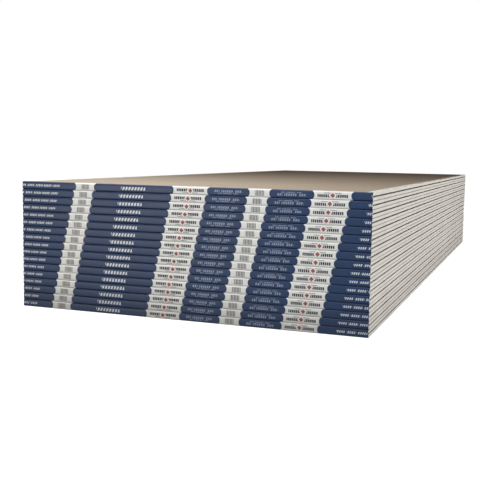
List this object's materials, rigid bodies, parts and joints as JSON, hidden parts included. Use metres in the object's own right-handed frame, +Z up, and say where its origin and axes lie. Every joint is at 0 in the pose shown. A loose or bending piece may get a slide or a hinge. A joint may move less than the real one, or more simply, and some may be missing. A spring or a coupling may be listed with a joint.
{
  "type": "drywall sheet stack",
  "caption": "Flat stack of drywall sheets with tapered long edges, laid face to face in pairs that printed paper tape binds over both ends.",
  "frame": {"origin": "under the middle of the stack, on the plane it lies on", "axes": "+Z up through the stack, +Y along the sheets' length, +X across their width"},
  "size_m": [1.2192, 3.0494, 0.4359],
  "materials": {
    "board": "matte",
    "end_tape": "matte"
  },
  "bodies": {
    "root": {"sheet_01": "board", "sheet_02": "board", "sheet_03": "board", "sheet_04": "board", "sheet_05": "board", "sheet_06": "board", "sheet_07": "board", "sheet_08": "board", "sheet_09": "board", "sheet_10": "board", "sheet_11": "board", "sheet_12": "board", "sheet_13": "board", "sheet_14": "board", "sheet_15": "board", "sheet_16": "board", "sheet_17": "board", "sheet_18": "board", "sheet_19": "board", "sheet_20": "board", "sheet_21": "board", "sheet_22": "board", "sheet_23": "board", "sheet_24": "board", "sheet_25": "board", "sheet_26": "board", "sheet_27": "board", "sheet_28": "board", "sheet_29": "board", "sheet_30": "board", "sheet_31": "board", "sheet_32": "board", "sheet_33": "board", "sheet_34": "board", "end_tapes_01": "end_tape", "end_tapes_02": "end_tape", "end_tapes_03": "end_tape", "end_tapes_04": "end_tape", "end_tapes_05": "end_tape", "end_tapes_06": "end_tape", "end_tapes_07": "end_tape", "end_tapes_08": "end_tape", "end_tapes_09": "end_tape", "end_tapes_10": "end_tape", "end_tapes_11": "end_tape", "end_tapes_12": "end_tape", "end_tapes_13": "end_tape", "end_tapes_14": "end_tape", "end_tapes_15": "end_tape", "end_tapes_16": "end_tape", "end_tapes_17": "end_tape"}
  },
  "joints": []
}
